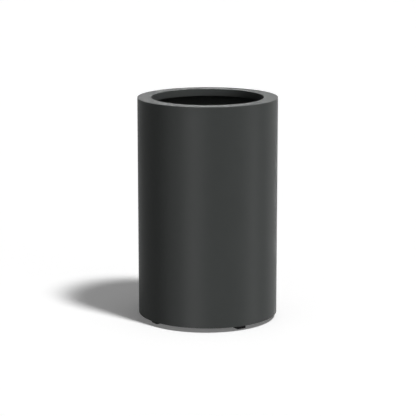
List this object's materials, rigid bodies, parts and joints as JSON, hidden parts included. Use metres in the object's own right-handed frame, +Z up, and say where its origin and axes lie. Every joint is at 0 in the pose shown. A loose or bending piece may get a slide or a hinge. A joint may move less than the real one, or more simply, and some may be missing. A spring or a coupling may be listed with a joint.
{
  "type": "tall round planter",
  "caption": "Tall round aluminium floor planter with a wide flat rim, a recessed base with drain holes and square feet that screw down to level it.",
  "frame": {"origin": "on the floor under the planter's axis, with the feet screwed right in", "axes": "+Z up along the planter's axis; one foot lies on each of +X, -X, +Y and -Y"},
  "size_m": [0.4999, 0.5, 0.8],
  "materials": {
    "coat": "sheet aluminium with a fine-textured matt anthracite powder coat",
    "pad_plastic": "moulded black nylon with a fine grain",
    "sole_rubber": "matt black rubber",
    "zinc": "bright zinc-plated steel",
    "spring_steel": "dark phosphated spring steel"
  },
  "bodies": {
    "root": {"outer_wall": "coat", "rim_ring": "coat", "rim_lip": "coat", "base_plate": "coat", "long_rail": "coat", "short_rail_front": "coat", "short_rail_back": "coat", "rivet_nuts": "zinc", "lock_nuts": "zinc"},
    "pad_front": {"foot_pad_front": "pad_plastic", "foot_sole_front": "sole_rubber"},
    "stud_front": {"foot_stud_front": "zinc", "foot_clip_front": "spring_steel"},
    "pad_right": {"foot_pad_right": "pad_plastic", "foot_sole_right": "sole_rubber"},
    "stud_right": {"foot_stud_right": "zinc", "foot_clip_right": "spring_steel"},
    "pad_back": {"foot_pad_back": "pad_plastic", "foot_sole_back": "sole_rubber"},
    "stud_back": {"foot_stud_back": "zinc", "foot_clip_back": "spring_steel"},
    "pad_left": {"foot_pad_left": "pad_plastic", "foot_sole_left": "sole_rubber"},
    "stud_left": {"foot_stud_left": "zinc", "foot_clip_left": "spring_steel"}
  },
  "joints": [
    {"name": "foot_height_front", "type": "slide", "parent": "root", "child": "pad_front", "axis": [0, 0, -1], "range_m": [0, 0.01]},
    {"name": "stud_turn_front", "type": "hinge", "parent": "pad_front", "child": "stud_front", "pos_m": [0, -0.209, 0.012], "axis": [0, 0, -1], "range_deg": [0, 2401]},
    {"name": "foot_height_right", "type": "slide", "parent": "root", "child": "pad_right", "axis": [0, 0, -1], "range_m": [0, 0.01]},
    {"name": "stud_turn_right", "type": "hinge", "parent": "pad_right", "child": "stud_right", "pos_m": [0.209, 0, 0.012], "axis": [0, 0, -1], "range_deg": [0, 2401]},
    {"name": "foot_height_back", "type": "slide", "parent": "root", "child": "pad_back", "axis": [0, 0, -1], "range_m": [0, 0.01]},
    {"name": "stud_turn_back", "type": "hinge", "parent": "pad_back", "child": "stud_back", "pos_m": [0, 0.209, 0.012], "axis": [0, 0, -1], "range_deg": [0, 2401]},
    {"name": "foot_height_left", "type": "slide", "parent": "root", "child": "pad_left", "axis": [0, 0, -1], "range_m": [0, 0.01]},
    {"name": "stud_turn_left", "type": "hinge", "parent": "pad_left", "child": "stud_left", "pos_m": [-0.209, 0, 0.012], "axis": [0, 0, -1], "range_deg": [0, 2401]}
  ],
  "couplings": [
    {"joint": "stud_turn_front", "follows": "foot_height_front", "rad_per_m": 4188.8},
    {"joint": "stud_turn_right", "follows": "foot_height_right", "rad_per_m": 4188.8},
    {"joint": "stud_turn_back", "follows": "foot_height_back", "rad_per_m": 4188.8},
    {"joint": "stud_turn_left", "follows": "foot_height_left", "rad_per_m": 4188.8}
  ]
}
